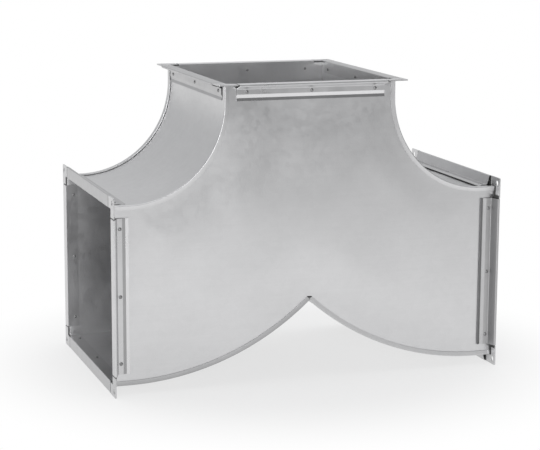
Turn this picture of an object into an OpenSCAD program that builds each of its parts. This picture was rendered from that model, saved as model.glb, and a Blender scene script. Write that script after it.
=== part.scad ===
// Branch fitting for rectangular sheet-steel duct.
// Air enters by the neck on top and leaves by the two side branches, or the other way round.
// Two flat cheeks close the front and the back. Four curved wrapper sheets are locked to their edges.
// Each of the three openings has a frame of four hollow rails joined by four corner pieces.
// The fitting stands on the lower rails of its side flanges: X is left to right, Y front to back, Z up.

/* [Duct] */
// Inside width of the neck, left to right
neck_w = 300; // [220:10:400]
// Inside height of each side branch
branch_h = 300; // [240:10:400]
// Inside depth of the fitting, front to back
duct_d = 350; // [200:10:500]
// Inside radius of the two throat bends
throat_r = 170; // [100:5:300]
// Straight collar from each bend to its flange face
collar = 30; // [30:1:80]

/* [Sheets and lock seams] */
// Thickness of the duct sheet
sheet_t = 0.8; // [0.6:0.1:1.2]
// Space between two folded layers
fold_gap = 0.2; // [0.1:0.05:0.3]
// Width of the folded pocket along each wrapper edge
pocket_w = 10; // [8:0.5:13]
// Width of the lip that is hammered over the cheek
lip_w = 8; // [6:0.5:12]
// Extra height of the lip at the corner of the duct, above its tip
lip_rise = 0.8; // [0:0.1:1.5]
// Distance from each flange face back to the end of the sheets
sheet_setback = 3.4; // [3.2:0.1:6]

/* [Saddle seam] */
// Height of the standing seam where the two heels meet
stand_h = 12; // [9:1:20]
// Length of the leg that is folded down over that seam
stand_hem = 8; // [5:0.5:8]
// Height of the trimmed lips above the point of the notch
lip_trim = 7; // [4:0.5:10]
// Width of the snip in the cheek flange at the point of the notch
snip_w = 4; // [2:0.5:8]

/* [Flange rails] */
// Height of the flange face above the inside of the duct
flange_h = 20; // [18:1:30]
// Thickness of the rail sheet
rail_t = 0.8; // [0.6:0.1:1]
// Depth of the hollow at the outer edge of the flange
edge_w = 4; // [3.8:0.1:6]
// Distance from the flange face to the foot of the sloping back wall
foot_w = 9; // [7:0.5:12]
// Distance from the flange face to the end of the level part of the leg
level_w = 18.5; // [17:0.5:20]
// Distance from the flange face to the line where the leg grips the sheet
grip_w = 24.5; // [22:0.5:26]
// Distance from the flange face to the end of the outer leg
leg_w = 29.5; // [28:0.5:30]
// Distance from the flange face to the end of the inner leg
inner_leg_w = 22; // [18:0.5:28]
// Height of the level part of the leg above the sheet
leg_rise = 2; // [0.8:0.1:2.5]
// Height of the flared end of the leg above the sheet
flare_rise = 2; // [0.5:0.1:3]
// Length cut from each rail end, measured from the corner of the duct
rail_cut = 17; // [14:0.5:24]

/* [Corner pieces] */
// Thickness of the corner plate
corner_t = 2; // [1.5:0.1:2.2]
// Length of each arm inside its rail
arm_l = 32; // [20:1:45]
// Radius of the outer corner
corner_r = 3; // [1:0.5:6]
// Diameter of the bolt hole
bolt_hole_d = 9; // [7:0.5:10]
// Open joint between a corner plate and the end of a rail
joint_gap = 2; // [0.2:0.1:3]

/* [Rivets] */
// Diameter of the rivet shank
rivet_d = 3.2; // [3:0.1:4.8]
// Diameter of the rivet head
rivet_head_d = 6.4; // [6:0.1:9]
// Height of the rivet head
rivet_head_h = 1.4; // [0.8:0.1:2]
// Diameter of the closed end inside the duct
rivet_bulb_d = 4.8; // [4.2:0.1:6]
// Length of the closed end inside the duct
rivet_bulb_h = 1.8; // [1:0.1:2.2]
// Distance from the flange face to the row of rivets
rivet_w = 14.5; // [13:0.5:15]
// Distance from the end of a rail to its first rivet
rivet_inset = 18; // [12:1:30]
// Radial clearance of the shank in its holes
rivet_fit = 0.05; // [0.02:0.01:0.1]

/* [Hidden] */

// Smooth arcs on the sheets, coarser ones on holes and rivets
$fn = 180;
small_fn = 28;
// Reach of a cutting tool past the face that it cuts
over = 1;

sheet_colour = [0.76, 0.77, 0.78];
wrapper_colour = [0.72, 0.73, 0.75];
rail_colour = [0.80, 0.81, 0.82];
corner_colour = [0.66, 0.67, 0.69];
rivet_colour = [0.58, 0.59, 0.61];

// Centres of the bends, shared by the throat and the heel of each branch
bend_x = neck_w / 2 + throat_r;
bend_z = flange_h + branch_h + throat_r;
heel_r = throat_r + branch_h;
// Planes of the flange faces
face_x = bend_x + collar;
face_z = bend_z + collar;

// Half depths of the fitting: to the inside and to the outside of a cheek
cheek_in = duct_d / 2;
cheek_out = cheek_in + sheet_t;
// Half width of the sheet that lies between the cheeks
web_y = cheek_in - fold_gap;

// Heights of the seam layers above the inside of the wrapper, to the middle of each sheet:
// the wrapper itself, the layer folded back on it, the cheek flange in the pocket, and the lip layer
layer = sheet_t + fold_gap;
main_n = sheet_t / 2;
fold_n = main_n + layer;
slot_n = fold_n + layer;
lip_n = slot_n + layer;

// The cheek flange ends short of the bottom of the pocket
cheek_flange_l = pocket_w - sheet_t - fold_gap;

// Where each rail of a flange lies, counted round from local +Y
SIDE_Y_PLUS = 0;
SIDE_X_MINUS = 1;
SIDE_Y_MINUS = 2;
SIDE_X_PLUS = 3;

// Unit vector along one leg of a path, and the same turned to its left side
function leg_dir(path, i) = (path[i + 1] - path[i]) / norm(path[i + 1] - path[i]);
function left_of(v) = [-v[1], v[0]];

// Left-hand offset for a corner of a path, as long as the mitre needs for a unit offset
function mitre(a, b) = (a + b) / (1 + a * b);
function corner_offset(path, i) =
    i == 0 ? left_of(leg_dir(path, 0))
    : i == len(path) - 1 ? left_of(leg_dir(path, i - 1))
    : mitre(left_of(leg_dir(path, i - 1)), left_of(leg_dir(path, i)));

// Outline of a sheet of thickness t that is folded along the middle line given by path
function folded(path, t) = concat(
    [for (i = [0 : len(path) - 1]) path[i] + corner_offset(path, i) * t / 2],
    [for (i = [len(path) - 1 : -1 : 0]) path[i] - corner_offset(path, i) * t / 2]
);
function reversed(path) = [for (i = [len(path) - 1 : -1 : 0]) path[i]];

// Folds of one wrapper edge, from the tip of its lip to the wrapper sheet.
// The first value is the height above the inside of the wrapper, the second the place along Y.
function lock_folds(side) = [
    [lip_n + sheet_t / 2 - lip_w, side * (cheek_out + fold_gap + sheet_t / 2)],
    [lip_n, side * (cheek_out + fold_gap + sheet_t / 2 + lip_rise)],
    [lip_n, side * (cheek_out - pocket_w + sheet_t / 2)],
    [fold_n, side * (cheek_out - pocket_w + sheet_t / 2)],
    [fold_n, side * (web_y - sheet_t / 2)],
    [main_n, side * (web_y - sheet_t / 2)]
];
wrapper_section = folded(concat(lock_folds(1), reversed(lock_folds(-1))), sheet_t);

// Section of a flange rail: the first value is the height above the inside of the duct,
// the second the depth behind the flange face, counted downwards
inner_leg_u = -fold_gap - rail_t / 2;
level_u = sheet_t + leg_rise + rail_t / 2;
grip_u = sheet_t + fold_gap + rail_t / 2;
rail_section = folded([
    [inner_leg_u, -inner_leg_w],
    [inner_leg_u, -rail_t / 2],
    [flange_h - rail_t / 2, -rail_t / 2],
    [flange_h - rail_t / 2, -edge_w + rail_t / 2],
    [level_u, -foot_w],
    [level_u, -level_w],
    [grip_u, -grip_w],
    [grip_u + flare_rise, -leg_w]
], rail_t);

// Height where the middle of a heel sheet turns up into its standing leg
saddle_z = bend_z - sqrt(pow(heel_r + main_n, 2) - pow(bend_x - layer / 2, 2));
stand_top = saddle_z + stand_h;
// Angle of the left bend at which even the tip of the lip has reached the middle of the fitting
saddle_angle = -acos(bend_x / (heel_r + lip_n + sheet_t / 2 - lip_w));
// Point of the notch between the outer faces of the two heel seams
notch_z = bend_z - sqrt(pow(heel_r + lip_n + sheet_t / 2, 2) - pow(bend_x, 2));

// The left heel folds over the standing leg of the right heel
over_leg = [
    [-layer / 2, saddle_z],
    [-layer / 2, stand_top],
    [layer * 3 / 2, stand_top],
    [layer * 3 / 2, stand_top - stand_hem]
];
plain_leg = [
    [-layer / 2, saddle_z],
    [-layer / 2, stand_top - sheet_t / 2 - fold_gap]
];

// Local frames of the flanges: Z points out of the duct, and the face lies at Z = 0
module on_left_flange() {
    translate([-face_x, 0, flange_h + branch_h / 2]) rotate([90, 0, -90]) children();
}
module on_right_flange() {
    mirror([1, 0, 0]) on_left_flange() children();
}
module on_neck_flange() {
    translate([0, 0, face_z]) children();
}

// Length of the duct side that a rail lies on, and distance of that side from the middle
function side_length(a, b, side) = side % 2 == 0 ? a : b;
function side_offset(a, b, side) = (side % 2 == 0 ? b : a) / 2;
function rail_length(a, b, side) = side_length(a, b, side) - 2 * rail_cut;

// Three rivets along one side of a flange of inside size a by b, pointing out of the duct
module at_rivets(a, b, side) {
    pitch = rail_length(a, b, side) / 2 - rivet_inset;
    rotate([0, 0, 90 * side])
        for (along = [-pitch, 0, pitch])
            translate([along, side_offset(a, b, side), -rivet_w]) rotate([-90, 0, 0]) children();
}
module rivet_bores(a, b, side) {
    reach = level_u + rail_t + rivet_bulb_h;
    at_rivets(a, b, side)
        translate([0, 0, -reach]) cylinder(d = rivet_d + 2 * rivet_fit, h = 2 * reach, $fn = small_fn);
}

// Sweeps a section of radius and height from angle a0 to a1, with straight ends
module along_bend(a0, a1, lead, tail) {
    rotate([0, 0, a0]) rotate([90, 0, 0]) linear_extrude(lead) children();
    rotate([0, 0, a0]) rotate_extrude(angle = a1 - a0) children();
    if (tail > 0)
        rotate([0, 0, a1]) mirror([0, 1, 0]) rotate([90, 0, 0]) linear_extrude(tail) children();
}
// Turns what is drawn round the left bend into the fitting's own frame
module on_left_bend() {
    translate([-bend_x, 0, bend_z]) rotate([90, 0, 0]) children();
}

// Left half of a cheek outline, n outside the duct, ending at a setback from each flange face
module half_outline(n, setback) {
    difference() {
        intersection() {
            translate([-bend_x, bend_z]) circle(heel_r + n);
            translate([-bend_x, bend_z - heel_r - n]) square([bend_x, heel_r + n]);
        }
        translate([-bend_x, bend_z]) circle(throat_r - n);
    }
    translate([-face_x + setback, bend_z - heel_r - n])
        square([collar - setback, branch_h + 2 * n]);
    translate([-neck_w / 2 - n, bend_z])
        square([neck_w / 2 + n, collar - setback]);
}
module duct_outline(n, setback) {
    half_outline(n, setback);
    mirror([1, 0]) half_outline(n, setback);
}

// Front cheek: a flat plate with a flange turned back along its four curved edges
module cheek() {
    flange_out = slot_n + sheet_t / 2;
    difference() {
        rotate([90, 0, 0]) {
            translate([0, 0, cheek_in])
                linear_extrude(sheet_t) duct_outline(flange_out, sheet_setback);
            translate([0, 0, cheek_out - cheek_flange_l])
                linear_extrude(cheek_flange_l)
                    difference() {
                        duct_outline(flange_out, sheet_setback);
                        duct_outline(flange_out - sheet_t, sheet_setback - over);
                        translate([-snip_w / 2, 0]) square([snip_w, stand_top]);
                    }
        }
        on_left_flange() rivet_bores(duct_d, branch_h, SIDE_X_PLUS);
        on_right_flange() rivet_bores(duct_d, branch_h, SIDE_X_PLUS);
        on_neck_flange() rivet_bores(neck_w, duct_d, SIDE_Y_MINUS);
    }
}

// Left throat wrapper: one sheet, rolled to the bend, with a lock pocket along both edges
module throat_wrapper() {
    difference() {
        on_left_bend()
            along_bend(-90, 0, collar - sheet_setback, collar - sheet_setback)
                polygon([for (p = wrapper_section) [throat_r - p[0], p[1]]]);
        on_left_flange() rivet_bores(duct_d, branch_h, SIDE_Y_PLUS);
        on_neck_flange() rivet_bores(neck_w, duct_d, SIDE_X_MINUS);
    }
}

// Left heel wrapper: one sheet from the branch to the saddle, ending in a standing leg
module heel_wrapper(standing_leg) {
    difference() {
        union() {
            intersection() {
                on_left_bend()
                    along_bend(-90, saddle_angle, collar - sheet_setback, 0)
                        polygon([for (p = wrapper_section) [heel_r + p[0], p[1]]]);
                translate([-face_x - over, -cheek_out - pocket_w, -over])
                    cube([face_x + over - fold_gap / 2, 2 * (cheek_out + pocket_w), bend_z]);
            }
            rotate([90, 0, 0])
                linear_extrude(2 * web_y, center = true) polygon(folded(standing_leg, sheet_t));
        }
        on_left_flange() rivet_bores(duct_d, branch_h, SIDE_Y_MINUS);
        lip_trimmer(1);
        lip_trimmer(-1);
    }
}
// Cuts both lips level above the notch, outside one cheek
module lip_trimmer(side) {
    reach = lip_rise + sheet_t + fold_gap + over;
    translate([0, side * (cheek_out + reach / 2), notch_z + lip_trim + lip_w])
        cube([4 * lip_w, reach, 2 * lip_w], center = true);
}

// Hollow flange rail on one side of an opening, with its double leg over the duct sheet
module rail(a, b, side) {
    difference() {
        rotate([0, 0, 90 * side])
            translate([0, side_offset(a, b, side), 0])
                rotate([90, 0, 90])
                    linear_extrude(rail_length(a, b, side), center = true) polygon(rail_section);
        rivet_bores(a, b, side);
    }
}

// Corner piece: an angle plate, level with the rails, whose arms are set back to slide into them
module corner_piece(a, b, quadrant) {
    arm_u = [level_u + sheet_t, flange_h - rail_t - fold_gap];
    arm_run = arm_l + joint_gap + 2 * corner_t;
    reach = rail_cut - joint_gap;
    rotate([0, 0, 90 * quadrant])
        translate([side_length(a, b, quadrant) / 2, side_offset(a, b, quadrant), 0])
            difference() {
                union() {
                    translate([0, 0, -corner_t]) linear_extrude(corner_t) corner_face(reach);
                    translate([0, 0, -rail_t - corner_t])
                        linear_extrude(corner_t) {
                            translate([-rail_cut - arm_l, arm_u[0]])
                                square([arm_run, arm_u[1] - arm_u[0]]);
                            translate([arm_u[0], -rail_cut - arm_l])
                                square([arm_u[1] - arm_u[0], arm_run]);
                        }
                }
                translate([flange_h / 2, flange_h / 2, -rail_t - corner_t - over])
                    cylinder(d = bolt_hole_d, h = rail_t + corner_t + 2 * over, $fn = small_fn);
            }
}
module corner_face(reach) {
    difference() {
        translate([-reach, -reach]) square(reach + flange_h);
        translate([-reach - over, -reach - over]) square(reach + over);
        translate([flange_h - corner_r, flange_h - corner_r])
            difference() {
                square(corner_r + over);
                circle(corner_r, $fn = 4 * small_fn);
            }
    }
}

// Blind rivet from the outer leg to the inner leg, with its closed end inside the duct
module rivet() {
    under = inner_leg_u - rail_t / 2;
    seat = level_u + rail_t / 2;
    dome_r = (pow(rivet_head_d / 2, 2) + pow(rivet_head_h, 2)) / (2 * rivet_head_h);
    translate([0, 0, under]) cylinder(d = rivet_d, h = seat - under, $fn = small_fn);
    translate([0, 0, under - rivet_bulb_h]) cylinder(d = rivet_bulb_d, h = rivet_bulb_h, $fn = small_fn);
    intersection() {
        translate([0, 0, seat]) cylinder(d = rivet_head_d, h = rivet_head_h, $fn = small_fn);
        translate([0, 0, seat + rivet_head_h - dome_r]) sphere(dome_r, $fn = 2 * small_fn);
    }
}
module flange_rivets(a, b) {
    for (side = [0 : 3]) at_rivets(a, b, side) rivet();
}

module front_cheek() { color(sheet_colour) cheek(); }
module back_cheek() { color(sheet_colour) mirror([0, 1, 0]) cheek(); }
module left_throat_wrapper() { color(wrapper_colour) throat_wrapper(); }
module right_throat_wrapper() { color(wrapper_colour) mirror([1, 0, 0]) throat_wrapper(); }
module left_heel_wrapper() { color(wrapper_colour) heel_wrapper(over_leg); }
module right_heel_wrapper() { color(wrapper_colour) mirror([1, 0, 0]) heel_wrapper(plain_leg); }
module left_rail(side) { color(rail_colour) on_left_flange() rail(duct_d, branch_h, side); }
module right_rail(side) { color(rail_colour) on_right_flange() rail(duct_d, branch_h, side); }
module neck_rail(side) { color(rail_colour) on_neck_flange() rail(neck_w, duct_d, side); }
module left_corner(quadrant) { color(corner_colour) on_left_flange() corner_piece(duct_d, branch_h, quadrant); }
module right_corner(quadrant) { color(corner_colour) on_right_flange() corner_piece(duct_d, branch_h, quadrant); }
module neck_corner(quadrant) { color(corner_colour) on_neck_flange() corner_piece(neck_w, duct_d, quadrant); }
module left_rivets() { color(rivet_colour) on_left_flange() flange_rivets(duct_d, branch_h); }
module right_rivets() { color(rivet_colour) on_right_flange() flange_rivets(duct_d, branch_h); }
module neck_rivets() { color(rivet_colour) on_neck_flange() flange_rivets(neck_w, duct_d); }

front_cheek();
back_cheek();
left_throat_wrapper();
right_throat_wrapper();
left_heel_wrapper();
right_heel_wrapper();
left_rail(SIDE_Y_PLUS);  // left_rail_top
left_rail(SIDE_X_MINUS);  // left_rail_back
left_rail(SIDE_Y_MINUS);  // left_rail_bottom
left_rail(SIDE_X_PLUS);  // left_rail_front
right_rail(SIDE_Y_PLUS);  // right_rail_top
right_rail(SIDE_X_MINUS);  // right_rail_back
right_rail(SIDE_Y_MINUS);  // right_rail_bottom
right_rail(SIDE_X_PLUS);  // right_rail_front
neck_rail(SIDE_Y_PLUS);  // neck_rail_back
neck_rail(SIDE_X_MINUS);  // neck_rail_left
neck_rail(SIDE_Y_MINUS);  // neck_rail_front
neck_rail(SIDE_X_PLUS);  // neck_rail_right
left_corner(0);  // left_corner_front_top
left_corner(1);  // left_corner_back_top
left_corner(2);  // left_corner_back_bottom
left_corner(3);  // left_corner_front_bottom
right_corner(0);  // right_corner_front_top
right_corner(1);  // right_corner_back_top
right_corner(2);  // right_corner_back_bottom
right_corner(3);  // right_corner_front_bottom
neck_corner(0);  // neck_corner_right_back
neck_corner(1);  // neck_corner_left_back
neck_corner(2);  // neck_corner_left_front
neck_corner(3);  // neck_corner_right_front
left_rivets();
right_rivets();
neck_rivets();
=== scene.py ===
import math

import bmesh
import bpy
from mathutils import Matrix, Vector, noise


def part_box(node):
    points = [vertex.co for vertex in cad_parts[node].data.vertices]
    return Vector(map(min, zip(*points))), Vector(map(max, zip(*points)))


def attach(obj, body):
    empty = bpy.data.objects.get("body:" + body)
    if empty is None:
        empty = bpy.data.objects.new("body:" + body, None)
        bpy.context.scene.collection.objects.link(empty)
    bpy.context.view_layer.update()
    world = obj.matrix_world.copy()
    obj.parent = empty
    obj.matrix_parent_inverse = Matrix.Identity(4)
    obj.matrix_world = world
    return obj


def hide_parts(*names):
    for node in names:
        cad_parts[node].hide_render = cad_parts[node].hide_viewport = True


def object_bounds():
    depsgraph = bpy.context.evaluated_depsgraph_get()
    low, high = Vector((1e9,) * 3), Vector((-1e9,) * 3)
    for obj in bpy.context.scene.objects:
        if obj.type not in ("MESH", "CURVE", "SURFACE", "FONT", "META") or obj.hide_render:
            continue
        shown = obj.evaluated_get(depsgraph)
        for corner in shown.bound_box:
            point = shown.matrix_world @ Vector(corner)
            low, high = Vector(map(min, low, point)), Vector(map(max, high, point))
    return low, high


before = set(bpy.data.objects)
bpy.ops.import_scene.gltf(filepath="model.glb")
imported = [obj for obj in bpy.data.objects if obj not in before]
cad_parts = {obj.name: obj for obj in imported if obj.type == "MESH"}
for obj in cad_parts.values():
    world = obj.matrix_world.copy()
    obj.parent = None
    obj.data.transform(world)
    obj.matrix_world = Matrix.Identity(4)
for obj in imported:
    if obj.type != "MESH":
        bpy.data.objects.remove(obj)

cad_low, cad_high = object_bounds()
scene = bpy.context.scene
scene.view_settings.view_transform = "Standard"

# Camera
# It stands in front, to the left and a little above, as in the photograph. The values were solved from
# ten flange corners: focal length in pixels of a 540 pixel wide image, place in metres, turns in degrees.
IMAGE_WIDTH_PX = 540
FOCAL_PX = 1751.7
CAMERA_PLACE = Vector((-1.0165, -2.9483, 0.8321))
CAMERA_YAW = math.radians(18.805)
CAMERA_PITCH = math.radians(10.733)
CAMERA_ROLL = math.radians(0.27)

camera_data = bpy.data.cameras.new("camera")
camera_data.sensor_width = 36.0
camera_data.lens = camera_data.sensor_width * FOCAL_PX / IMAGE_WIDTH_PX
camera_data.clip_start = 0.1
camera_data.clip_end = 50.0
camera = bpy.data.objects.new("camera", camera_data)
camera.location = CAMERA_PLACE
camera.rotation_euler = (
    Matrix.Rotation(-CAMERA_YAW, 3, "Z")
    @ Matrix.Rotation(math.pi / 2 - CAMERA_PITCH, 3, "X")
    @ Matrix.Rotation(CAMERA_ROLL, 3, "Z")
).to_euler()
scene.collection.objects.link(camera)
scene.camera = camera

# Floor and studio light
# A sweep of white paper that ends a little in front of the fitting, with a bright backdrop behind it. The
# room in front is dim, with a window low on the left, a pale ceiling and two soft lamps.
SWEEP_FRONT = 2.2
SWEEP_EDGE = 0.8
FLOOR_SIZE = 40.0
SWEEP_WHITE = 0.88
ROOM_FLOOR = 0.30
SHADOW_REACH = (0.30, 0.62)
SHADOW_CLEARED = (0.65, 1.0)
BACKDROP = Vector((0.0, 1.0, 0.15)).normalized()
CEILING = Vector((0.0, 0.1, 1.0)).normalized()
WINDOW = Vector((-0.36, -0.93, 0.02)).normalized()
ROOM_LIGHT = 0.35
BACKDROP_LIGHT = 0.38
CEILING_LIGHT = 0.40
WINDOW_LIGHT = 0.60
LAMP_AIM = (0, 0, 0.25)

floor_mesh = bpy.data.meshes.new("floor")
half_floor = FLOOR_SIZE / 2
floor_corners = [(x * half_floor, y * half_floor, 0) for x, y in ((-1, -1), (1, -1), (1, 1), (-1, 1))]
floor_mesh.from_pydata(floor_corners, [], [(0, 1, 2, 3)])
floor = bpy.data.objects.new("floor", floor_mesh)
scene.collection.objects.link(floor)

floor_finish = bpy.data.materials.new("white paper")
floor_finish.use_nodes = True
floor_nodes = floor_finish.node_tree.nodes
floor_links = floor_finish.node_tree.links
paper = floor_nodes["Principled BSDF"]
floor_place = floor_nodes.new("ShaderNodeTexCoord").outputs["Object"]
floor_axes = floor_nodes.new("ShaderNodeSeparateXYZ")
floor_links.new(floor_place, floor_axes.inputs[0])


def along_floor(low, high):
    """A value that changes smoothly from low in the room in front to high on the sweep."""
    graded = floor_nodes.new("ShaderNodeMapRange")
    graded.interpolation_type = "SMOOTHSTEP"
    graded.inputs["From Min"].default_value = -SWEEP_FRONT - SWEEP_EDGE
    graded.inputs["From Max"].default_value = -SWEEP_FRONT
    graded.inputs["To Min"].default_value = low
    graded.inputs["To Max"].default_value = high
    floor_links.new(floor_axes.outputs["Y"], graded.inputs["Value"])
    return graded.outputs[0]


floor_links.new(along_floor(ROOM_FLOOR, SWEEP_WHITE), paper.inputs["Base Color"])
paper.inputs["Roughness"].default_value = 0.9
paper.inputs["Specular IOR Level"].default_value = 0.1
paper_white = floor_nodes.new("ShaderNodeEmission")
paper_white.inputs["Strength"].default_value = 1.0
ray = floor_nodes.new("ShaderNodeLightPath")
seen = ray.outputs["Is Camera Ray"]
for kind in ("Is Glossy Ray", "Is Transmission Ray"):
    either = floor_nodes.new("ShaderNodeMath")
    either.operation = "MAXIMUM"
    floor_links.new(seen, either.inputs[0])
    floor_links.new(ray.outputs[kind], either.inputs[1])
    seen = either.outputs[0]
from_fitting = floor_nodes.new("ShaderNodeVectorMath")
from_fitting.operation = "LENGTH"
floor_links.new(floor_place, from_fitting.inputs[0])
cleared = floor_nodes.new("ShaderNodeMapRange")
cleared.interpolation_type = "SMOOTHSTEP"
cleared.inputs["From Min"].default_value, cleared.inputs["From Max"].default_value = SHADOW_REACH
cleared.inputs["To Min"].default_value, cleared.inputs["To Max"].default_value = SHADOW_CLEARED
floor_links.new(from_fitting.outputs["Value"], cleared.inputs["Value"])
white_share = seen
for part in (cleared.outputs[0], along_floor(0.0, 1.0)):
    scaled = floor_nodes.new("ShaderNodeMath")
    scaled.operation = "MULTIPLY"
    floor_links.new(white_share, scaled.inputs[0])
    floor_links.new(part, scaled.inputs[1])
    white_share = scaled.outputs[0]
sweep = floor_nodes.new("ShaderNodeMixShader")
floor_links.new(white_share, sweep.inputs["Fac"])
floor_links.new(paper.outputs[0], sweep.inputs[1])
floor_links.new(paper_white.outputs[0], sweep.inputs[2])
floor_links.new(sweep.outputs[0], floor_nodes["Material Output"].inputs["Surface"])
floor_mesh.materials.append(floor_finish)

world = bpy.data.worlds.new("studio")
scene.world = world
world.use_nodes = True
studio = world.node_tree
direction = studio.nodes.new("ShaderNodeTexCoord").outputs["Generated"]


def glow_towards(aim, start, full, strength):
    """Light that grows from nothing to its full strength as the view turns towards one side of the room."""
    closeness = studio.nodes.new("ShaderNodeVectorMath")
    closeness.operation = "DOT_PRODUCT"
    closeness.inputs[1].default_value = aim
    studio.links.new(direction, closeness.inputs[0])
    grown = studio.nodes.new("ShaderNodeMapRange")
    grown.interpolation_type = "SMOOTHSTEP"
    grown.inputs["From Min"].default_value = start
    grown.inputs["From Max"].default_value = full
    grown.inputs["To Max"].default_value = strength
    studio.links.new(closeness.outputs["Value"], grown.inputs["Value"])
    return grown.outputs[0]


room_light = None
for aim, start, full, strength in (
    (BACKDROP, 0.45, 0.85, BACKDROP_LIGHT),
    (CEILING, 0.6, 0.95, CEILING_LIGHT),
    (WINDOW, 0.76, 0.97, WINDOW_LIGHT),
):
    added = studio.nodes.new("ShaderNodeMath")
    studio.links.new(glow_towards(aim, start, full, strength), added.inputs[0])
    if room_light:
        studio.links.new(room_light, added.inputs[1])
    else:
        added.inputs[1].default_value = ROOM_LIGHT
    room_light = added.outputs[0]
studio.links.new(room_light, studio.nodes["Background"].inputs["Strength"])
studio.nodes["Background"].inputs["Color"].default_value = (0.985, 0.99, 1.0, 1)


def soft_lamp(name, place, aim, size, power):
    lamp_data = bpy.data.lights.new(name, "AREA")
    lamp_data.shape = "DISK"
    lamp_data.size = size
    lamp_data.energy = power
    lamp = bpy.data.objects.new(name, lamp_data)
    lamp.location = place
    lamp.rotation_euler = (Vector(aim) - Vector(place)).to_track_quat("-Z", "Y").to_euler()
    scene.collection.objects.link(lamp)


soft_lamp("key lamp", place=(-0.9, -2.7, 0.7), aim=LAMP_AIM, size=1.2, power=16)
soft_lamp("top lamp", place=(0.2, 0.6, 2.8), aim=LAMP_AIM, size=3.4, power=14)

# Cheeks
# Two plates of galvanised sheet close the front and the back. Their curved edges are turned back as a
# narrow flange that sits in the lock pockets of the wrappers. The wide flats bow and wave a little.
MM = 0.001
SHEET = 0.8 * MM
BRANCH_HEIGHT = 300 * MM
THROAT_RADIUS = 170 * MM
COLLAR = 30 * MM
HEEL_RADIUS = THROAT_RADIUS + BRANCH_HEIGHT
face_x = cad_high.x
face_z = cad_high.z
bend_x = face_x - COLLAR
bend_z = face_z - COLLAR
front_plate_low, front_plate_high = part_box("front_cheek")
cheek_face = -front_plate_low.y
setback = face_x - front_plate_high.x
cheek_edge = bend_z - HEEL_RADIUS - front_plate_low.z
cheek_turn = front_plate_high.y - front_plate_low.y
SNIP_HALF = 2 * MM
ARC_STEPS = 44
COLLAR_STEPS = 3
CROSS_STEPS = 44
HELD_BAND = 70 * MM
SADDLE_EASE = 90 * MM
BOW = 3.4 * MM
BOW_CENTRE = Vector((-0.02, 0, 0.20))
BOW_REACH = 0.34
WAVE = 0.9 * MM
WAVE_LENGTH = 0.16


def galvanised(name, grey, gloss, streak_axis, grain_share=1.0, shade=None):
    """Hot-dip zinc: grey metal with faint crystal spangles, rolling streaks and clouds of duller oxide.

    shade names an attribute of painted reflection, by which the tone of each strip is multiplied."""
    finish = bpy.data.materials.new(name)
    finish.use_nodes = True
    nodes = finish.node_tree.nodes
    links = finish.node_tree.links
    shader = nodes["Principled BSDF"]
    shader.inputs["Metallic"].default_value = 1.0

    def share(value, factor):
        scaled = nodes.new("ShaderNodeMath")
        scaled.operation = "MULTIPLY"
        links.new(value, scaled.inputs[0])
        scaled.inputs[1].default_value = factor
        return scaled.outputs[0]

    def total(*values):
        result = values[0]
        for value in values[1:]:
            added = nodes.new("ShaderNodeMath")
            links.new(result, added.inputs[0])
            links.new(value, added.inputs[1])
            result = added.outputs[0]
        return result

    def ranged(value, low_in, high_in, low_out, high_out):
        mapped = nodes.new("ShaderNodeMapRange")
        links.new(value, mapped.inputs["Value"])
        mapped.inputs["From Min"].default_value = low_in
        mapped.inputs["From Max"].default_value = high_in
        mapped.inputs["To Min"].default_value = low_out
        mapped.inputs["To Max"].default_value = high_out
        return mapped.outputs[0]

    place = nodes.new("ShaderNodeTexCoord").outputs["Object"]

    def grain(scale, detail, vector=place):
        texture = nodes.new("ShaderNodeTexNoise")
        texture.inputs["Scale"].default_value = scale
        texture.inputs["Detail"].default_value = detail
        links.new(vector, texture.inputs["Vector"])
        return texture.outputs["Fac"]

    spangle = nodes.new("ShaderNodeTexVoronoi")
    spangle.inputs["Scale"].default_value = 110
    links.new(place, spangle.inputs["Vector"])
    crystal = nodes.new("ShaderNodeSeparateColor")
    links.new(spangle.outputs["Color"], crystal.inputs["Color"])
    stretch = nodes.new("ShaderNodeMapping")
    stretch.inputs["Scale"].default_value = [8 if axis == streak_axis else 240 for axis in "XYZ"]
    links.new(place, stretch.inputs["Vector"])
    streak = grain(1, 2, stretch.outputs["Vector"])
    cloud = grain(9, 4)
    speck = grain(420, 2)

    flecks = share(speck, 0.25 * grain_share)
    tone = total(share(crystal.outputs["Red"], 0.10), cloud, share(streak, 0.20), flecks)
    level = ranged(tone, 0.50, 1.10, grey * 0.93, grey * 1.05)
    if shade:
        strip = nodes.new("ShaderNodeAttribute")
        strip.attribute_name = shade
        shaded = nodes.new("ShaderNodeMath")
        shaded.operation = "MULTIPLY"
        links.new(level, shaded.inputs[0])
        links.new(strip.outputs["Fac"], shaded.inputs[1])
        level = shaded.outputs[0]
    tint = nodes.new("ShaderNodeCombineColor")
    links.new(level, tint.inputs["Red"])
    links.new(level, tint.inputs["Green"])
    links.new(share(level, 1.01), tint.inputs["Blue"])
    links.new(tint.outputs[0], shader.inputs["Base Color"])

    dull = total(share(crystal.outputs["Green"], 0.20), cloud)
    links.new(ranged(dull, 0.35, 0.85, gloss - 0.05, gloss + 0.07), shader.inputs["Roughness"])

    bump = nodes.new("ShaderNodeBump")
    bump.inputs["Strength"].default_value = 0.25
    bump.inputs["Distance"].default_value = 0.0002
    links.new(total(cloud, share(streak, 0.10), share(speck, 0.10 * grain_share)), bump.inputs["Height"])
    links.new(bump.outputs["Normal"], shader.inputs["Normal"])
    return finish


def finish_piece(piece, slot, *nodes):
    """Shades a finished piece, and hands it to the frame in place of its CAD nodes."""
    piece.data.shade_smooth()
    piece.data.set_sharp_from_angle(angle=math.radians(38))
    weighted = piece.modifiers.new("weighted normals", "WEIGHTED_NORMAL")
    weighted.keep_sharp = True
    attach(piece, "root")
    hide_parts(*nodes)


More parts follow.
